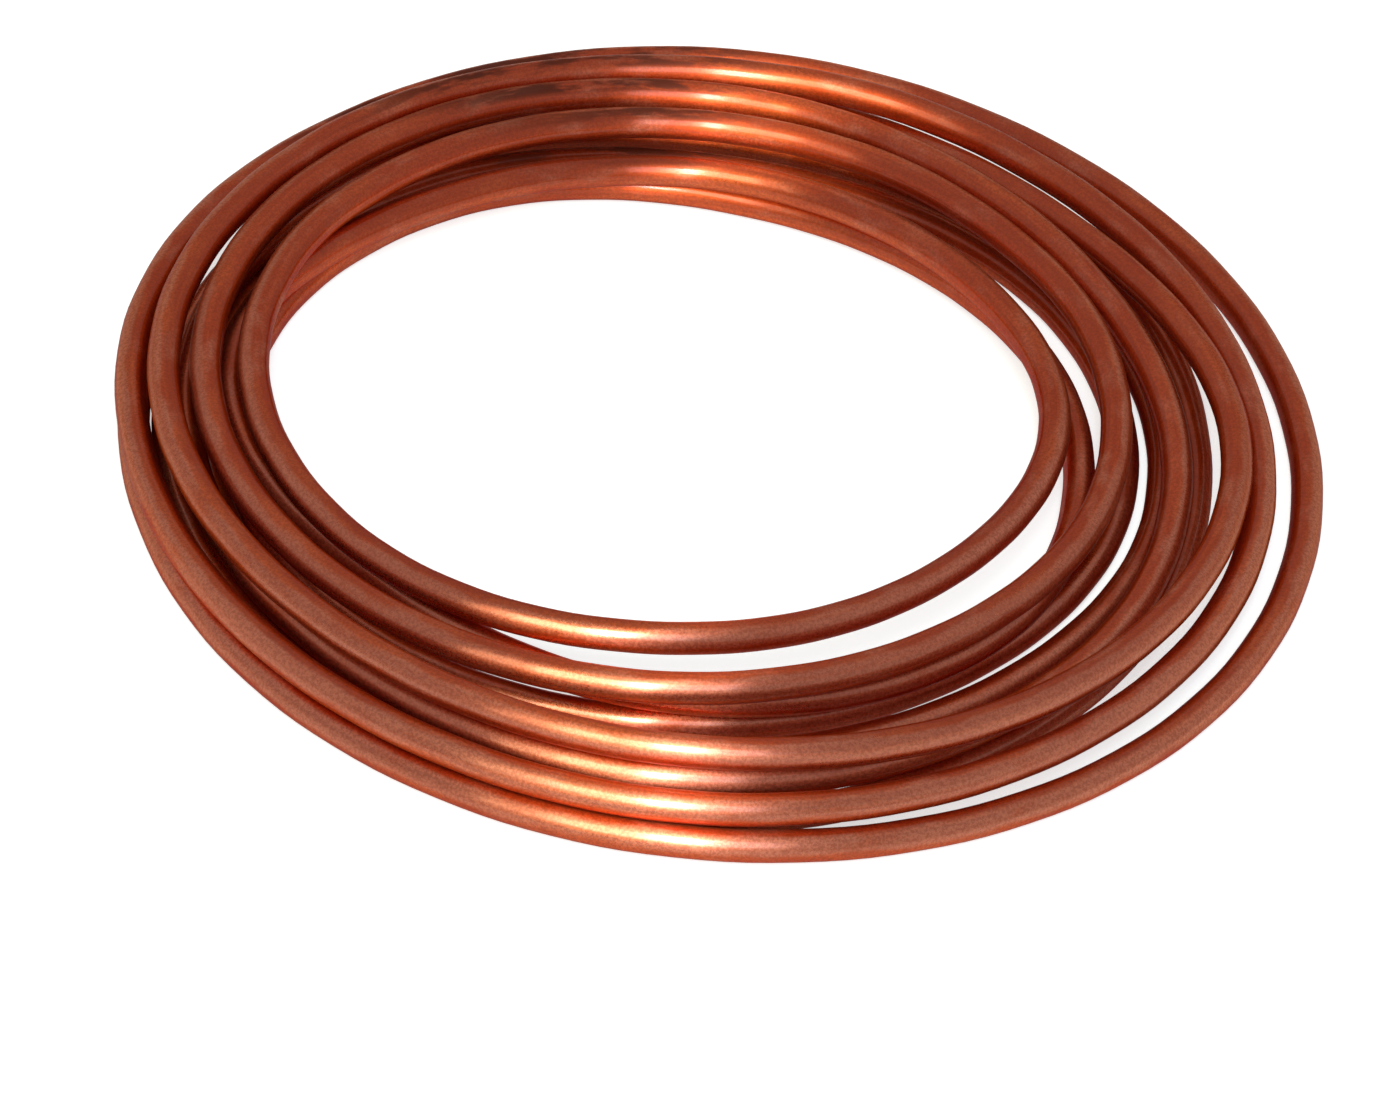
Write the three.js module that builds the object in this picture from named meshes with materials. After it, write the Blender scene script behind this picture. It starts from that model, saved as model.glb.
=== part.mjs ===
// Coil of soft copper tube, as sold for refrigeration and water lines: one length of small round tube,
// wound into three loose layers that lie flat on the floor.
//
// Units are millimetres and +Z is up. The origin is on the floor, under the middle of the coil.
// The tube is one piece of stock, so the part is one mesh, swept along the route of its centreline.
// The route says in which lane and layer each turn lies at eight bearings round the coil,
// and then the turns are settled on each other, so that they rest a small gap apart.

import * as THREE from "three";
import { mergeVertices } from "three/addons/utils/BufferGeometryUtils.js";

// ---- Driving dimensions -------------------------------------------------------------------------------

const TUBE_DIAMETER = 6.35; // outside diameter, the 1/4 inch trade size
const WALL = 0.76; // wall thickness of the soft refrigeration grade
const TURN_GAP = 0.3; // least clear space between two turns that rest on each other
const LAYER_RISE = 0.9; // height of one layer above the next, in pitches: turns half nest in the grooves below
const COIL_DIAMETER = 239; // over the tube in the outermost lane

const OUTER_SIDES = 10; // facets round the outside of the tube
const BORE_SIDES = 8; // facets round the bore
const STEPS_PER_TURN = 32; // straight facets along one turn

// ---- The route ----------------------------------------------------------------------------------------

// Seen from above, the winding runs clockwise. A turn's row starts at the far side (+Y) and goes on
// over far right, right, near right, near, near left, left and far left, 45 degrees apart.
// A lane is the distance of the centreline inside the outermost lane, in pitches of a tube and its gap.
// Layer 0 lies on the floor, layer 1 on layer 0, and layer 2 on top.
const TURNS = [
  { lane: [2.0, 2.5, 3.4, 2.7, 0.9, 1.2, 1.4, 1.9], layer: [0, 0, 0, 0, 0, 0, 0, 0] },
  { lane: [3.2, 3.9, 4.2, 4.4, 3.5, 2.4, 2.3, 3.3], layer: [0, 0, 0, 0, 0, 0, 0, 0] },
  { lane: [4.7, 5.0, 5.5, 5.7, 4.8, 3.4, 2.9, 4.0], layer: [0, 0, 0, 0, 0, 0, 0, 0] },
  { lane: [6.0, 7.0, 6.9, 5.5, 4.8, 4.7, 3.0, 4.9], layer: [0, 0.4, 1, 1, 1, 1, 1, 1] },
  { lane: [6.2, 7.5, 7.7, 7.7, 6.5, 4.5, 3.6, 4.0], layer: [1, 1.5, 2, 2, 2, 2, 2, 2] },
  { lane: [4.8, 5.3, 5.8, 5.4, 4.3, 2.9, 2.2, 2.6], layer: [2, 2, 2, 2.2, 2, 2, 2, 2] },
  { lane: [3.6, 5.0, 4.1, 2.8, 1.5, 1.5, 1.8, 2.6], layer: [2, 2, 1.5, 1, 1, 1, 1, 1] },
  { lane: [2.3, 3.4, 2.3, 1.9, 1.6, 1.4, 1.0, 1.5], layer: [1.2, 1.7, 2, 2, 2, 2, 2, 2] },
  { lane: [2.4, 2.1, 1.5, 0.9, 0.3, 0.2, 0.1, -0.4], layer: [2, 1.5, 1, 1, 1, 1, 0.8, 0] },
  { lane: [-0.7, -0.2, 0.0, -0.1, -0.1, 0.1, 0.7], layer: [0, 0, 0, 0, 0, 0, 0] },
];
const BEARINGS = 8;

// ---- Sizes that follow --------------------------------------------------------------------------------

// A polygon that has the same area as a circle has a slightly larger corner radius, so the faceted tube
// keeps the real cross section and weight.
function cornerRadius(diameter, sides) {
  const share = ((2 * Math.PI) / sides) / Math.sin((2 * Math.PI) / sides);
  return (diameter / 2) * Math.sqrt(share);
}

const outerCorner = cornerRadius(TUBE_DIAMETER, OUTER_SIDES);
const boreCorner = cornerRadius(TUBE_DIAMETER - 2 * WALL, BORE_SIDES);
const restHeight = outerCorner * Math.cos(Math.PI / OUTER_SIDES); // centreline of a turn that lies on the floor
const pitch = TUBE_DIAMETER + TURN_GAP;
const outerLane = (COIL_DIAMETER - TUBE_DIAMETER) / 2;

// ---- Settling the turns -------------------------------------------------------------------------------

// Catmull-Rom interpolation in a list of numbers that are one bearing apart.
function along(values, place) {
  const last = values.length - 1;
  const k = Math.min(Math.max(Math.floor(place), 0), last - 1);
  const u = place - k;
  const at = (n) => values[Math.min(Math.max(n, 0), last)];
  const [a, b, c, d] = [at(k - 1), at(k), at(k + 1), at(k + 2)];
  return b + 0.5 * u * (c - a + u * (2 * a - 5 * b + 4 * c - d + u * (3 * (b - c) + d - a)));
}

// The hand-laid centreline as stations, each with its bearing, its distance from the middle and its height.
function laidStations() {
  const lanes = TURNS.flatMap((turn) => turn.lane);
  const layers = TURNS.flatMap((turn) => turn.layer);
  const last = Math.round(((lanes.length - 1) / BEARINGS) * STEPS_PER_TURN);
  const stations = [];
  for (let step = 0; step <= last; step++) {
    const place = (step / STEPS_PER_TURN) * BEARINGS;
    const radius = outerLane - pitch * along(lanes, place);
    const height = restHeight + pitch * LAYER_RISE * Math.max(along(layers, place), 0);
    stations.push({ step, radius, height, laidRadius: radius, laidHeight: height });
  }
  return stations;
}

// Two turns that cross the same bearing are moved apart until a tube and its gap fit between their centres.
function partTurns(stations) {
  for (let i = 0; i < stations.length; i++) {
    for (let j = i + STEPS_PER_TURN; j < stations.length; j += STEPS_PER_TURN) {
      const across = stations[j].radius - stations[i].radius;
      const up = stations[j].height - stations[i].height;
      const apart = Math.hypot(across, up);
      if (apart >= pitch || apart === 0) continue;
      const share = (pitch - apart) / (2 * apart);
      stations[i].radius -= across * share;
      stations[i].height -= up * share;
      stations[j].radius += across * share;
      stations[j].height += up * share;
    }
  }
  for (const station of stations) station.height = Math.max(station.height, restHeight);
}

// The tube is stiff, so each station is drawn towards the middle of its two neighbours,
// and a little towards the place where it was laid.
const STIFFNESS = 0.35;
const HOLD = 0.04;
const SETTLING_PASSES = 400;
const PARTING_PASSES = 60;

function settle(stations) {
  for (let pass = 0; pass < SETTLING_PASSES; pass++) {
    for (const name of ["radius", "height"]) {
      const laid = name === "radius" ? "laidRadius" : "laidHeight";
      const before = stations.map((station) => station[name]);
      for (let i = 1; i < stations.length - 1; i++) {
        const bow = (before[i - 1] + before[i + 1]) / 2 - (stations[i - 1][laid] + stations[i + 1][laid]) / 2;
        const middle = stations[i][laid] + bow;
        stations[i][name] += STIFFNESS * (middle - before[i]) + HOLD * (stations[i][laid] - before[i]);
      }
    }
    partTurns(stations);
  }
  for (let pass = 0; pass < PARTING_PASSES; pass++) partTurns(stations);
  return stations;
}

// ---- The tube -----------------------------------------------------------------------------------------

// The settled centreline as a three.js curve. Its frames stay level, with one axis as near to upright as
// the tube's slope allows, so that the facets of the lowest turns lie flat on the floor.
class CoilPath extends THREE.Curve {
  constructor(points) {
    super();
    this.points = points;
  }

  getPoint(share, target = new THREE.Vector3()) {
    const place = share * (this.points.length - 1);
    const k = Math.min(Math.floor(place), this.points.length - 2);
    return target.lerpVectors(this.points[k], this.points[k + 1], place - k);
  }

  getSpacedPoints() {
    return this.points;
  }

  computeFrenetFrames() {
    const up = new THREE.Vector3(0, 0, 1);
    const frames = { tangents: [], normals: [], binormals: [] };
    this.points.forEach((point, k) => {
      const before = this.points[Math.max(k - 1, 0)];
      const after = this.points[Math.min(k + 1, this.points.length - 1)];
      const tangent = new THREE.Vector3().subVectors(after, before).normalize();
      const normal = new THREE.Vector3().crossVectors(up, tangent).normalize();
      frames.tangents.push(tangent);
      frames.normals.push(normal);
      frames.binormals.push(new THREE.Vector3().crossVectors(tangent, normal));
    });
    return frames;
  }
}

function polygon(corner, sides) {
  const turn = (2 * Math.PI) / sides;
  return Array.from({ length: sides }, (_, k) => {
    const angle = (k + 0.5) * turn - Math.PI / 2;
    return new THREE.Vector2(corner * Math.cos(angle), corner * Math.sin(angle));
  });
}

// The points of the settled centreline, from the inner end on, with the middle of the coil over the origin.
function centreline() {
  const points = settle(laidStations()).map(({ step, radius, height }) => {
    const bearing = Math.PI / 2 - (step / STEPS_PER_TURN) * 2 * Math.PI;
    return new THREE.Vector3(radius * Math.cos(bearing), radius * Math.sin(bearing), height);
  });
  const middle = new THREE.Box3().setFromPoints(points).getCenter(new THREE.Vector3()).setZ(0);
  return points.map((point) => point.sub(middle));
}

function copperTube() {
  const points = centreline();
  const section = new THREE.Shape(polygon(outerCorner, OUTER_SIDES));
  section.holes.push(new THREE.Path(polygon(boreCorner, BORE_SIDES)));
  const swept = new THREE.ExtrudeGeometry(section, {
    steps: points.length - 1,
    extrudePath: new CoilPath(points),
  });
  swept.deleteAttribute("normal");
  swept.deleteAttribute("uv");
  return mergeVertices(swept, 1e-4);
}

const copper = new THREE.MeshStandardMaterial({ color: 0xb0603c, roughness: 0.32, metalness: 1 });
const tube = new THREE.Mesh(copperTube(), copper);
tube.name = "copper_tube";

const coil = new THREE.Group();
coil.add(tube);

export default coil;
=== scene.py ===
import math

import bmesh
import bpy
from mathutils import Matrix, Vector


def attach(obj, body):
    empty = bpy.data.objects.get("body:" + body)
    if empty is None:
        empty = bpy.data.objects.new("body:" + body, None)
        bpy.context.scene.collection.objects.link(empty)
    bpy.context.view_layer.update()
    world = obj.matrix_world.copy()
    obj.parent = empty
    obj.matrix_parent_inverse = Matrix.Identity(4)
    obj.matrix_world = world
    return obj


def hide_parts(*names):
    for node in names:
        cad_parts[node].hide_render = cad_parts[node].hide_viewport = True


bl_info = {
    "name": "Copper tube coil",
    "version": (1, 0, 0),
    "blender": (4, 5, 0),
    "location": "3D View > Sidebar > Coil",
    "description": "Dresses a coil of soft copper tube and sets up a plain studio round it",
    "category": "Object",
}

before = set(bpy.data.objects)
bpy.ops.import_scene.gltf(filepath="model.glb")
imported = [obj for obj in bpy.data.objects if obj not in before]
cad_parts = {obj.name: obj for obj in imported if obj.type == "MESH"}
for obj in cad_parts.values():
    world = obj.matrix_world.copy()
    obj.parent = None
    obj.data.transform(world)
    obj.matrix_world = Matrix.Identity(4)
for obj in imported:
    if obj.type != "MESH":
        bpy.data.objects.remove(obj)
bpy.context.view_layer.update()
FRAME_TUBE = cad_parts["copper_tube"]

# ---- Fixed measures, in metres -------------------------------------------------------------------

MERGE_DISTANCE = 1e-5  # corners of the frame's tube that lie closer than this are one
DARK_REFLECTION_BACK = (0.062, 0.085)  # the painted dark reflection fades in between these two, towards the back
DARK_REFLECTION_LEFT = (-0.016, 0.012)  # and between these two, towards the left
FLOOR_HALF = 6.0  # half the width of the floor
FLOOR_DROP = 0.0001  # how far the floor lies below the origin, which keeps it clear of the tube
LAMP_DISTANCE = 2.4  # from the origin to each lamp

# ---- Fixed shares and sizes of other kinds -------------------------------------------------------

# Scales of the third axis of noise: 1 is even, near 0 it becomes lines, and over 1 it is squeezed.
DRAWN_ALONG = 0.012
RUBBED_ALONG = 0.24
SMEARED_ALONG = 0.4
SAWN_ALONG = 9.0

# Directions across the tube, as shares towards the middle of the coil and upwards.
INNER_SIDE = (0.87, 0.5)
OUTER_SIDE = (-0.6, 0.8)
BACK_TOP = (0.34, 0.94)

MIRRORED_WHITE = 0.16  # the share of the floor's added white that shiny things show
SENSOR_WIDTH = 36.0  # of the camera, in millimetres


# ---- Shader values as Python expressions ---------------------------------------------------------


class Value:
    """A shader socket that can be added, subtracted and multiplied in a Python expression."""

    def __init__(self, tree, socket):
        self.tree = tree
        self.socket = socket

    @classmethod
    def of(cls, tree, kind, settings=None, values=None, output=0):
        """Add a node: its settings first, then the values or links of its sockets."""
        node = tree.nodes.new(kind)
        for name, setting in (settings or {}).items():
            setattr(node, name, setting)
        for name, value in (values or {}).items():
            target = node.inputs[name]
            if isinstance(value, Value):
                tree.links.new(value.socket, target)
            else:
                target.default_value = value
        return cls(tree, node.outputs[output] if node.outputs else None)

    def maths(self, operation, *values):
        return Value.of(
            self.tree, "ShaderNodeMath", {"operation": operation}, dict(enumerate(values))
        )

    def __add__(self, other):
        return self.maths("ADD", self, other)

    def __sub__(self, other):
        return self.maths("SUBTRACT", self, other)

    def __mul__(self, other):
        return self.maths("MULTIPLY", self, other)

    def __radd__(self, other):
        return self.maths("ADD", other, self)

    def __rsub__(self, other):
        return self.maths("SUBTRACT", other, self)

    def ramp(self, low, high):
        """0 at low, 1 at high, and smooth between them."""
        return Value.of(
            self.tree,
            "ShaderNodeMapRange",
            {"interpolation_type": "SMOOTHSTEP"},
            {"Value": self, "From Min": low, "From Max": high},
        )


def noise(tree, at, scale, detail, rough):
    return Value.of(
        tree,
        "ShaderNodeTexNoise",
        {"noise_dimensions": "3D"},
        {"Vector": at, "Scale": scale, "Detail": detail, "Roughness": rough},
    )


def stretched(tree, vector, along):
    """A vector with its third part scaled, so that noise on it is stretched or squeezed."""
    return Value.of(
        tree, "ShaderNodeMapping", values={"Vector": vector, "Scale": (1.0, 1.0, along)}
    )


def part_of(tree, vector, axis):
    """One coordinate of a vector."""
    return Value.of(tree, "ShaderNodeSeparateXYZ", values={"Vector": vector}, output=axis)


def facing(inward, upward, side, radius):
    """How much a point of the tube lies to one side: 1 in its middle, and -1 opposite it."""
    return (upward * side[1] + inward * side[0]) * (1.0 / radius)


def blend(tree, share, below, above):
    """Mix two colours. Each is a Value or three numbers."""
    below, above = (
        colour if isinstance(colour, Value) else (*colour, 1.0) for colour in (below, above)
    )
    # Other sockets of this node have the same names as those for colours, so these go by number.
    return Value.of(
        tree, "ShaderNodeMix", {"data_type": "RGBA"}, {0: share, 6: below, 7: above}, output=2
    )


def shade(colour, *factors):
    """A colour times one factor, or times one for each of its parts, and no brighter than 1."""
    factors = factors if len(factors) > 1 else factors * 3
    return tuple(min(part * factor, 1.0) for part, factor in zip(colour, factors))


def empty_material(name):
    """A new material and its node tree, which has no nodes yet."""
    material = bpy.data.materials.new(name)
    material.use_nodes = True
    material.node_tree.nodes.clear()
    return material, material.node_tree


# ---- Settings ------------------------------------------------------------------------------------


class CoilTubeSettings(bpy.types.PropertyGroup):
    diameter: bpy.props.FloatProperty(
        name="Diameter",
        description="Outside diameter of the tube",
        default=0.00635,
        unit="LENGTH",
        precision=5,
    )
    wall: bpy.props.FloatProperty(
        name="Wall",
        description="Wall thickness of the tube",
        default=0.00076,
        unit="LENGTH",
        precision=5,
    )
    sides: bpy.props.IntProperty(
        name="Sides", description="Faces round the tube", default=24, min=8
    )
    steps: bpy.props.IntProperty(
        name="Steps",
        description="Faces along each straight facet of the frame's tube",
        default=5,
        min=1,
    )
    copper: bpy.props.FloatVectorProperty(
        name="Copper",
        description="Colour of clean drawn copper",
        default=(0.79, 0.136, 0.034),
        subtype="COLOR",
    )
    # Also used as painted shade on the side of the tube that faces the middle of the coil.
    tarnish_and_shade: bpy.props.FloatVectorProperty(
        name="Tarnish",
        description="Colour of handled, dulled copper",
        default=(0.64, 0.080, 0.018),
        subtype="COLOR",
    )
    # Also the colour of the painted pale reflection along the outer, upper side of the tube.
    film_and_reflection: bpy.props.FloatVectorProperty(
        name="Film",
        description="Colour under the pale film",
        default=(0.85, 0.27, 0.145),
        subtype="COLOR",
    )
    # The colour of the painted dark reflection at the back left of the coil.
    dark_reflection: bpy.props.FloatVectorProperty(
        name="Stain",
        description="Colour of dark smudges",
        default=(0.19, 0.042, 0.022),
        subtype="COLOR",
    )
    edge: bpy.props.FloatVectorProperty(
        name="Edge",
        description="Tint of the metal where it is seen at a low angle",
        default=(0.34, 0.2, 0.1),
        subtype="COLOR",
    )
    roughness: bpy.props.FloatProperty(
        name="Roughness",
        description="Roughness of the satin finish",
        default=0.29,
        min=0.0,
        max=1.0,
        subtype="FACTOR",
    )


class CoilStageSettings(bpy.types.PropertyGroup):
    floor: bpy.props.FloatVectorProperty(
        name="Floor", description="Colour of the floor", default=(0.68, 0.68, 0.68), subtype="COLOR"
    )
    white: bpy.props.FloatProperty(
        name="Whitening",
        description="White added to the floor where it is seen or mirrored",
        default=0.58,
        min=0.0,
    )
    sky: bpy.props.FloatProperty(
        name="Room light", description="Level of the room's even light", default=0.45, min=0.0
    )
    key: bpy.props.FloatProperty(
        name="Key lamp", description="Radiance of the lamp by the camera", default=26.0
    )
    warm: bpy.props.FloatProperty(
        name="Warm lamp", description="Radiance of the warm lamp on the left", default=5.5
    )
    cool: bpy.props.FloatProperty(
        name="Cool lamp", description="Radiance of the pale lamp on the right", default=2.5
    )
    side: bpy.props.FloatProperty(
        name="Side lamp", description="Radiance of the faint lamp on the left", default=1.5
    )
    distance: bpy.props.FloatProperty(
        name="Camera distance",
        description="From the camera to the point in the middle of its view",
        default=1.905,
        unit="LENGTH",
    )
    bearing: bpy.props.FloatProperty(
        name="Camera bearing",
        description="Angle of the camera to the right of the front",
        default=math.radians(0.098),
        subtype="ANGLE",
    )
    height: bpy.props.FloatProperty(
        name="Camera height",
        description="Angle of the camera above the horizon",
        default=math.radians(40.563),
        subtype="ANGLE",
    )
    roll: bpy.props.FloatProperty(
        name="Camera roll",
        description="Tilt of the camera about its own axis",
        default=math.radians(6.137),
        subtype="ANGLE",
    )
    aim: bpy.props.FloatVectorProperty(
        name="Aim",
        description="The point in the middle of the view",
        default=(-0.00264, -0.02475, -0.00588),
        subtype="TRANSLATION",
        unit="LENGTH",
    )
    lens: bpy.props.FloatProperty(
        name="Lens", description="Focal length in millimetres", default=252.85, unit="CAMERA"
    )


# ---- The tube ------------------------------------------------------------------------------------


def centreline(diameter):
    """The middle of each ring of the frame's tube, from one sawn end to the other."""
    bm = bmesh.new()
    bm.from_mesh(FRAME_TUBE.data)
    bmesh.ops.remove_doubles(bm, verts=bm.verts, dist=MERGE_DISTANCE)
    bm.verts.index_update()
    # Only the faces of the two sawn ends are small: those along the tube are much longer than it
    # is wide. Each end is small as a whole too, and the two ends lie far apart.
    small = 2 * diameter
    sawn = [face for face in bm.faces if face.calc_perimeter() < small]
    at_ends = {vert for face in sawn for vert in face.verts}
    if not at_ends:
        raise RuntimeError("the frame's tube has no sawn end")
    first = min(at_ends, key=lambda vert: tuple(vert.co)).co.copy()
    ring = {vert for vert in at_ends if (vert.co - first).length < small}
    corners = len(ring)
    visited = set(ring)
    middles = []
    while ring:
        if len(ring) != corners:
            raise RuntimeError("the rings of the frame's tube differ in their number of corners")
        ordered = sorted(ring, key=lambda vert: vert.index)
        middles.append(sum((vert.co for vert in ordered), Vector()) / len(ordered))
        ring = {edge.other_vert(vert) for vert in ring for edge in vert.link_edges} - visited
        visited |= ring
    bm.free()
    return middles


def keep_bend(end, beside, towards, away):
    """Let the route bend right up to its end, as it does at the point beside it."""
    handle = getattr(beside, away) - beside.co
    chord = (beside.co - end.co).normalized()
    bend = handle - 2 * handle.dot(chord) * chord
    end.handle_left_type = end.handle_right_type = "FREE"
    setattr(end, towards, end.co + bend)
    setattr(end, away, end.co - bend)


def swept_tube(name, middles, radius, sides, steps):
    """A round tube, open at both ends, along a smooth curve through the points."""
    curve = bpy.data.curves.new(name, "CURVE")
    curve.dimensions = "3D"
    curve.twist_mode = "Z_UP"
    curve.resolution_u = steps
    curve.bevel_depth = radius
    curve.bevel_resolution = (sides - 4) // 2  # a bevel has 4 sides, and 2 more for each step here
    curve.use_fill_caps = False
    spline = curve.splines.new("BEZIER")
    spline.bezier_points.add(len(middles) - 1)
    for point, middle in zip(spline.bezier_points, middles):
        point.co = middle
        point.handle_left_type = "AUTO"
        point.handle_right_type = "AUTO"
    keep_bend(spline.bezier_points[0], spline.bezier_points[1], "handle_right", "handle_left")
    keep_bend(spline.bezier_points[-1], spline.bezier_points[-2], "handle_left", "handle_right")
    route = bpy.data.objects.new(name + "_route", curve)
    bpy.context.scene.collection.objects.link(route)
    bpy.context.view_layer.update()
    swept = route.evaluated_get(bpy.context.evaluated_depsgraph_get())
    mesh = bpy.data.meshes.new_from_object(swept)
    bpy.data.objects.remove(route)
    mesh.name = name
    tube = bpy.data.objects.new(name, mesh)
    bpy.context.scene.collection.objects.link(tube)
    return tube


def mark_stock(mesh, sides, radius):
    """Store where each point lay on the straight tube before it was coiled.

    The first two parts of "stock" point to the middle of the coil and upwards, and the third
    is the length along the tube. The faces are made smooth as well.
    """
    bm = bmesh.new()
    bm.from_mesh(mesh)
    bm.verts.ensure_lookup_table()
    stock = bm.verts.layers.float_vector.new("stock")
    rings = len(bm.verts) // sides
    if rings * sides != len(bm.verts):
        raise RuntimeError("the swept tube isn't made of whole rings")
    along = 0.0
    before = None
    for k in range(rings):
        ring = bm.verts[k * sides : (k + 1) * sides]
        middle = sum((vert.co for vert in ring), Vector()) / sides
        along += (middle - before).length if before else 0.0
        before = middle
        for n, vert in enumerate(ring):
            turn = 2 * math.pi * n / sides
            vert[stock] = (radius * math.cos(turn), radius * math.sin(turn), along)
    bmesh.ops.recalc_face_normals(bm, faces=bm.faces)
    for face in bm.faces:
        face.smooth = True
    bm.to_mesh(mesh)
    bm.free()


def satin_copper(settings):
    """Drawn soft copper: satin, with lengthwise die lines and dulled patches, painted shade on the
    side that faces the middle of the coil, and painted pale and dark reflections.
    """
    material, tree = empty_material("satin_drawn_copper")
    stock = Value.of(tree, "ShaderNodeAttribute", {"attribute_name": "stock"}, output="Vector")
    place = Value.of(tree, "ShaderNodeTexCoord", output="Object")
    drawn = stretched(tree, stock, DRAWN_ALONG)
    rubbed = stretched(tree, stock, RUBBED_ALONG)
    smeared = stretched(tree, stock, SMEARED_ALONG)

    lines = noise(tree, drawn, scale=1300.0, detail=3.0, rough=0.6)
    bands = noise(tree, drawn, scale=420.0, detail=2.0, rough=0.5)
    patches = noise(tree, rubbed, scale=210.0, detail=4.0, rough=0.6)
    smears = noise(tree, smeared, scale=240.0, detail=3.0, rough=0.55)
    reflections = noise(tree, rubbed, scale=290.0, detail=4.0, rough=0.6)
    clouds = noise(tree, place, scale=30.0, detail=3.0, rough=0.55)
    grain = noise(tree, place, scale=1700.0, detail=3.0, rough=0.7)

    inward, upward = part_of(tree, stock, "X"), part_of(tree, stock, "Y")
    shaded_inner, reflecting_outer, reflecting_top = (
        facing(inward, upward, side, settings.diameter / 2)
        for side in (INNER_SIDE, OUTER_SIDE, BACK_TOP)
    )

    # Bright and dull metal alternate in soft patches that were rubbed along the tube. On the side
    # that faces the middle of the coil, painted shade makes it duller and darker.
    dull = (clouds * 0.4 + patches * 0.6 + shaded_inner.ramp(0.45, 0.95) * 0.12).ramp(0.43, 0.63)
    colour = blend(tree, dull, settings.copper, settings.tarnish_and_shade)
    # A pale film lies on the metal in places. Along the side that faces up and out it forms a band,
    # and that band is a painted pale reflection.
    film_and_reflection = (smears * 0.6 + clouds * 0.3 + reflecting_outer.ramp(0.66, 0.96) * 0.24).ramp(0.44, 0.68)
    colour = blend(tree, film_and_reflection * 0.90, colour, settings.film_and_reflection)
    # Bright die lines, dull bands along the tube, and dark grain.
    colour = blend(tree, lines.ramp(0.42, 0.68) * 0.30, colour, shade(settings.copper, 1.25))
    colour = blend(tree, bands.ramp(0.60, 0.42) * 0.30, colour, shade(settings.tarnish_and_shade, 0.6))
    colour = blend(tree, grain.ramp(0.60, 0.40) * 0.45, colour, shade(settings.tarnish_and_shade, 0.55))
    # A painted dark reflection of something above: soft dark patches along the top of the tube, at
    # the back left of the coil.
    back = part_of(tree, place, "Y").ramp(*DARK_REFLECTION_BACK)
    left = (0.0 - part_of(tree, place, "X")).ramp(*DARK_REFLECTION_LEFT)
    painted_dark_reflection = back * left * reflecting_top.ramp(0.70, 0.96) * reflections.ramp(0.40, 0.55)
    colour = blend(tree, painted_dark_reflection * 0.95, colour, settings.dark_reflection)

    rough = settings.roughness + (bands - 0.5) * 0.20 + dull * 0.05
    rough = rough + (grain - 0.5) * 0.08 + painted_dark_reflection * 0.12
    height = lines * 0.6 + bands * 0.7 + grain * 0.3
    bump = Value.of(
        tree,
        "ShaderNodeBump",
        values={"Strength": 0.25, "Distance": 0.00006, "Height": height},
        output="Normal",
    )
    shader = Value.of(
        tree,
        "ShaderNodeBsdfPrincipled",
        values={
            "Base Color": colour,
            "Metallic": 1.0,
            "Roughness": rough,
            "Specular Tint": (*settings.edge, 1.0),
            "Anisotropic": 0.95,
            "Anisotropic Rotation": 0.25,
            "Coat Weight": 0.17 + film_and_reflection * 0.05 - painted_dark_reflection * 0.12,
            "Coat Roughness": 0.13,
            "Coat IOR": 2.4,
            "Normal": bump,
        },
    )
    Value.of(tree, "ShaderNodeOutputMaterial", values={"Surface": shader})
    return material


def sawn_copper(settings):
    """The cut face at each end of the tube: bare, brighter metal with the saw's scratches."""
    material, tree = empty_material("sawn_copper")
    place = Value.of(tree, "ShaderNodeTexCoord", output="Object")
    sawn = stretched(tree, place, SAWN_ALONG)
    scratches = noise(tree, sawn, scale=900.0, detail=3.0, rough=0.65)
    blotches = noise(tree, place, scale=500.0, detail=2.0, rough=0.5)
    bright = shade(settings.copper, 1.1, 2.2, 3.6)
    dull = scratches.ramp(0.35, 0.65) * 0.6 + blotches.ramp(0.45, 0.7) * 0.3
    colour = blend(tree, dull, bright, settings.copper)
    bump = Value.of(
        tree,
        "ShaderNodeBump",
        values={"Strength": 0.35, "Distance": 0.00005, "Height": scratches},
        output="Normal",
    )
    shader = Value.of(
        tree,
        "ShaderNodeBsdfPrincipled",
        values={
            "Base Color": colour,
            "Metallic": 1.0,
            "Roughness": 0.3 + scratches * 0.25,
            "Normal": bump,
        },
    )
    Value.of(tree, "ShaderNodeOutputMaterial", values={"Surface": shader})
    return material


class COIL_OT_copper_tube(bpy.types.Operator):
    """Sweep the round copper tube along the coil, with its real wall and sawn open ends"""

    bl_idname = "coil.copper_tube"
    bl_label = "Copper tube"

    def execute(self, context):
        settings = context.scene.coil_tube
        radius = settings.diameter / 2
        middles = centreline(settings.diameter)
        tube = swept_tube("copper_tube_coil", middles, radius, settings.sides, settings.steps)
        mark_stock(tube.data, settings.sides, radius)
        tube.data.materials.clear()
        tube.data.materials.append(satin_copper(settings))
        tube.data.materials.append(sawn_copper(settings))
        bore = tube.modifiers.new("Wall", "SOLIDIFY")
        bore.thickness = settings.wall
        bore.offset = -1.0
        bore.use_even_offset = False
        bore.material_offset_rim = 1
        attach(tube, "root")
        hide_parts("copper_tube")
        return {"FINISHED"}


# ---- The stage -----------------------------------------------------------------------------------


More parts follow.
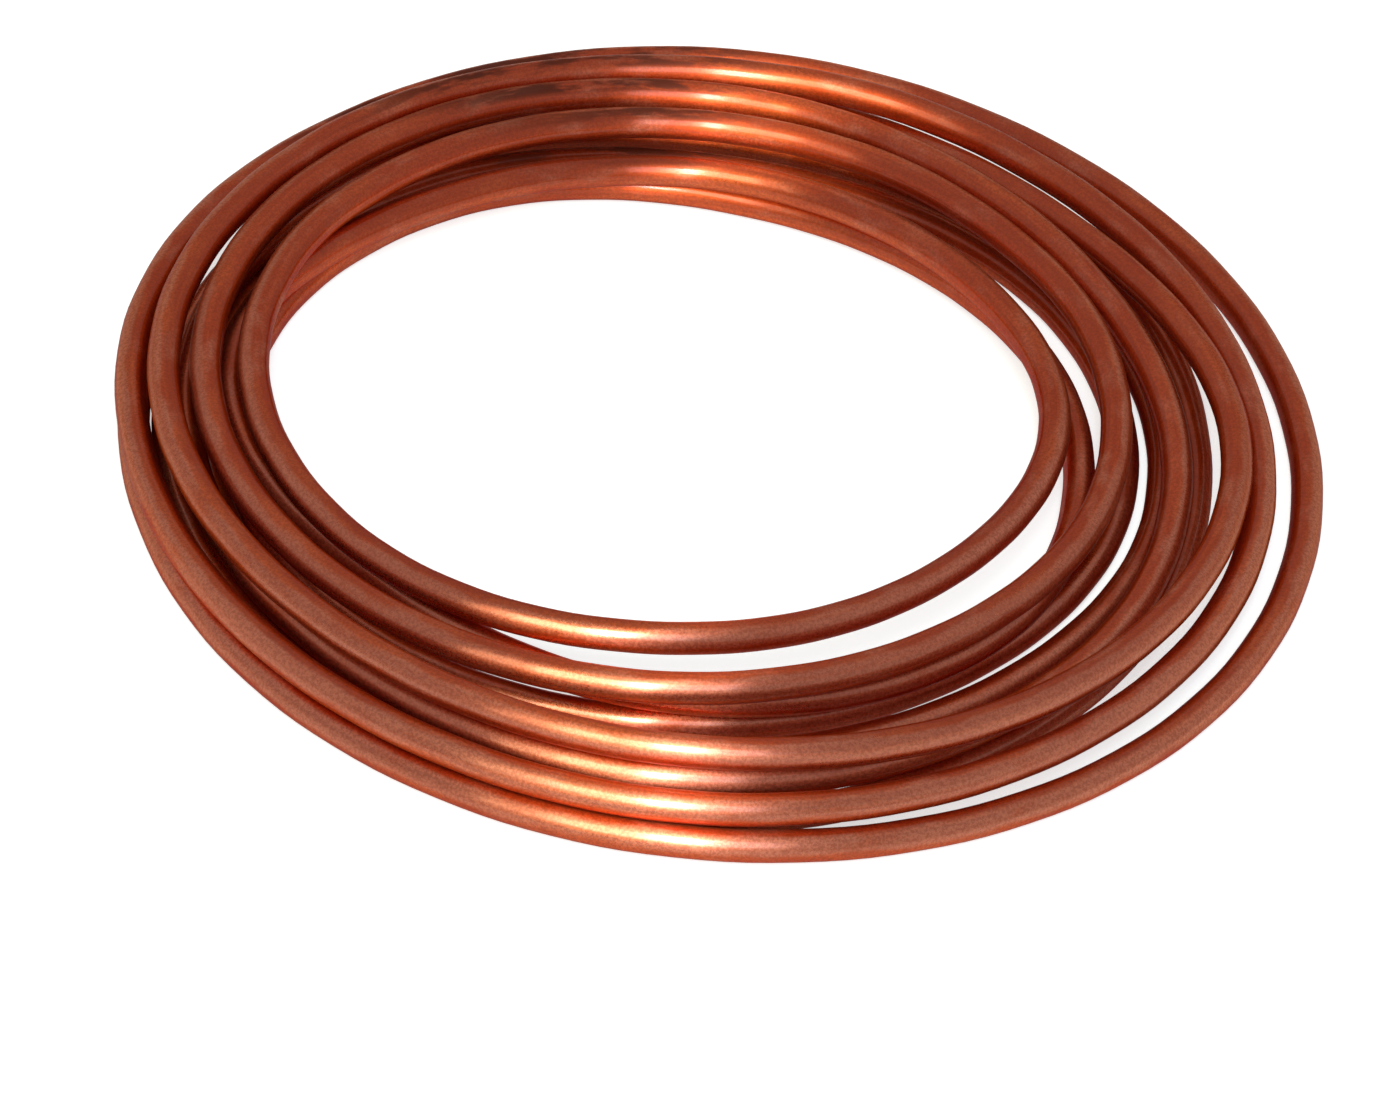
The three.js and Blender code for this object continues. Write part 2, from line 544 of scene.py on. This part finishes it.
def pale_floor(settings):
    """A matte sheet that looks lighter than it is lit, to the camera and in what shines."""
    material, tree = empty_material("pale_floor")
    camera, glossy, transmission = (
        Value.of(tree, "ShaderNodeLightPath", output=f"Is {kind} Ray")
        for kind in ("Camera", "Glossy", "Transmission")
    )
    seen = camera + (glossy + transmission) * MIRRORED_WHITE
    sheet = Value.of(tree, "ShaderNodeBsdfDiffuse", values={"Color": (*settings.floor, 1.0)})
    white = Value.of(
        tree,
        "ShaderNodeEmission",
        values={"Color": (1.0, 1.0, 1.0, 1.0), "Strength": seen * settings.white},
    )
    both = Value.of(tree, "ShaderNodeAddShader", values={0: sheet, 1: white})
    Value.of(tree, "ShaderNodeOutputMaterial", values={"Surface": both})
    return material


def direction(bearing, height):
    """The way from the coil to a place round it, by two angles.

    Bearing 0 is the front, and a positive bearing is to its right.
    """
    level = math.cos(height)
    return Vector((math.sin(bearing) * level, -math.cos(bearing) * level, math.sin(height)))


def strip(name, radiance, colour, bearing, width, span):
    """Add an upright soft lamp that faces the coil.

    It is width degrees wide, and span is the height of its lower and its upper edge, in degrees.
    """
    low, high = span
    size, size_y = (
        2 * LAMP_DISTANCE * math.tan(math.radians(angle / 2)) for angle in (width, high - low)
    )
    data = bpy.data.lights.new(name, "AREA")
    data.shape = "RECTANGLE"
    data.size, data.size_y = size, size_y
    data.energy = radiance * math.pi * size * size_y
    data.color = colour
    ray = direction(math.radians(bearing), math.radians((low + high) / 2))
    lamp = bpy.data.objects.new(name, data)
    lamp.location = ray * LAMP_DISTANCE
    lamp.rotation_euler = ray.to_track_quat("Z", "Y").to_euler()
    bpy.context.scene.collection.objects.link(lamp)


class COIL_OT_stage(bpy.types.Operator):
    """Set up the pale floor, the soft studio lamps and the camera"""

    bl_idname = "coil.stage"
    bl_label = "Studio"

    def execute(self, context):
        scene = context.scene
        settings = scene.coil_stage

        bm = bmesh.new()
        bmesh.ops.create_grid(bm, x_segments=1, y_segments=1, size=FLOOR_HALF)
        bmesh.ops.translate(bm, verts=bm.verts, vec=(0.0, 0.0, -FLOOR_DROP))
        sheet = bpy.data.meshes.new("floor")
        bm.to_mesh(sheet)
        bm.free()
        floor = bpy.data.objects.new("floor", sheet)
        floor.data.materials.append(pale_floor(settings))
        scene.collection.objects.link(floor)

        world = bpy.data.worlds.new("room")
        world.use_nodes = True
        world.node_tree.nodes.clear()
        room = Value.of(
            world.node_tree,
            "ShaderNodeBackground",
            values={"Color": (1.0, 1.0, 1.0, 1.0), "Strength": settings.sky},
        )
        Value.of(world.node_tree, "ShaderNodeOutputWorld", values={"Surface": room})
        scene.world = world

        strip("key", settings.key, (0.88, 1.0, 1.10), bearing=0.8, width=4.6, span=(27, 63))
        strip("warm", settings.warm, (0.82, 1.0, 0.76), bearing=-12.0, width=17.0, span=(26, 64))
        strip("cool", settings.cool, (0.82, 0.98, 1.12), bearing=11.5, width=13.0, span=(26, 64))
        strip("side", settings.side, (0.95, 1.0, 0.70), bearing=-29.0, width=15.0, span=(22, 66))

        away = direction(settings.bearing, settings.height)
        level = direction(settings.bearing + math.pi / 2, 0.0)
        right = Matrix.Rotation(settings.roll, 3, away) @ level
        data = bpy.data.cameras.new("camera")
        data.sensor_width = SENSOR_WIDTH
        data.sensor_fit = "HORIZONTAL"
        data.lens = settings.lens
        camera = bpy.data.objects.new("camera", data)
        axes = Matrix((right, away.cross(right), away)).transposed().to_4x4()
        place = Vector(settings.aim) + settings.distance * away
        camera.matrix_world = Matrix.Translation(place) @ axes
        scene.collection.objects.link(camera)
        scene.camera = camera

        scene.view_settings.view_transform = "Standard"
        return {"FINISHED"}


# ---- The sidebar panel and the run ---------------------------------------------------------------


class COIL_PT_panel(bpy.types.Panel):
    """Lists the coil's settings and the steps that make it"""

    bl_idname = "COIL_PT_panel"
    bl_label = "Copper tube coil"
    bl_space_type = "VIEW_3D"
    bl_region_type = "UI"
    bl_category = "Coil"

    def draw(self, context):
        for settings, operator in (
            (context.scene.coil_tube, COIL_OT_copper_tube),
            (context.scene.coil_stage, COIL_OT_stage),
        ):
            column = self.layout.column()
            for name in settings.__annotations__:
                column.prop(settings, name)
            column.operator(operator.bl_idname)


CLASSES = (CoilTubeSettings, CoilStageSettings, COIL_OT_copper_tube, COIL_OT_stage, COIL_PT_panel)


def register():
    for cls in CLASSES:
        bpy.utils.register_class(cls)
    bpy.types.Scene.coil_tube = bpy.props.PointerProperty(type=CoilTubeSettings)
    bpy.types.Scene.coil_stage = bpy.props.PointerProperty(type=CoilStageSettings)


def unregister():
    del bpy.types.Scene.coil_stage
    del bpy.types.Scene.coil_tube
    for cls in reversed(CLASSES):
        bpy.utils.unregister_class(cls)


def main():
    register()
    bpy.ops.coil.copper_tube()
    bpy.ops.coil.stage()


if __name__ == "__main__":
    main()
